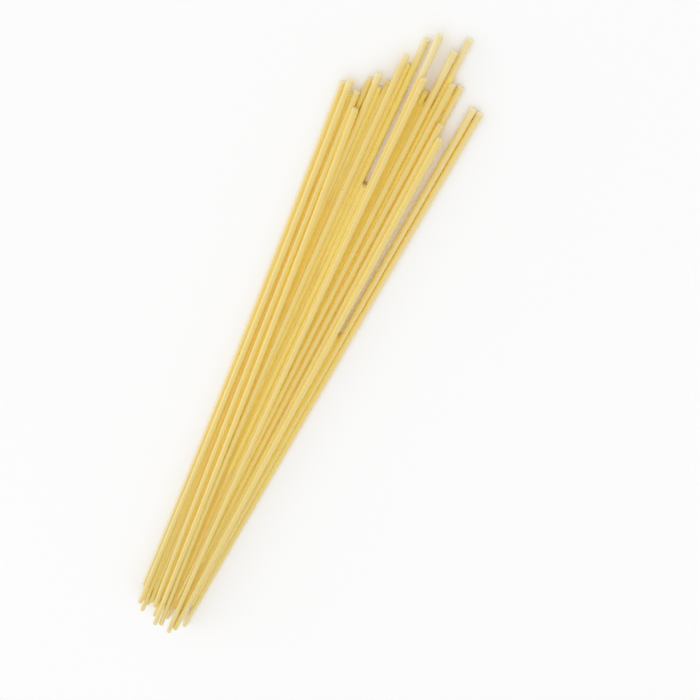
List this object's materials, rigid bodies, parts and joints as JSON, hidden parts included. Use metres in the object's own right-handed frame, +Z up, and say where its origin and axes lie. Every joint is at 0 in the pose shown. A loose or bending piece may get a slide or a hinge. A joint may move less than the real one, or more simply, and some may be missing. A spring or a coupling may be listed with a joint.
{
  "type": "dry spaghetti bundle",
  "caption": "Loose bundle of straight dry spaghetti strands lying flat, tight at one end and fanned out unevenly at the other.",
  "frame": {"origin": "middle of the bundle's footprint, on the table that it lies on", "axes": "+X along the strands towards the fanned end, +Y across the bundle, +Z up from the table"},
  "size_m": [0.2812, 0.0388, 0.0077],
  "materials": {
    "dry_pasta": "satin"
  },
  "bodies": {
    "root": {"spaghetti_bundle": "dry_pasta"}
  },
  "joints": []
}
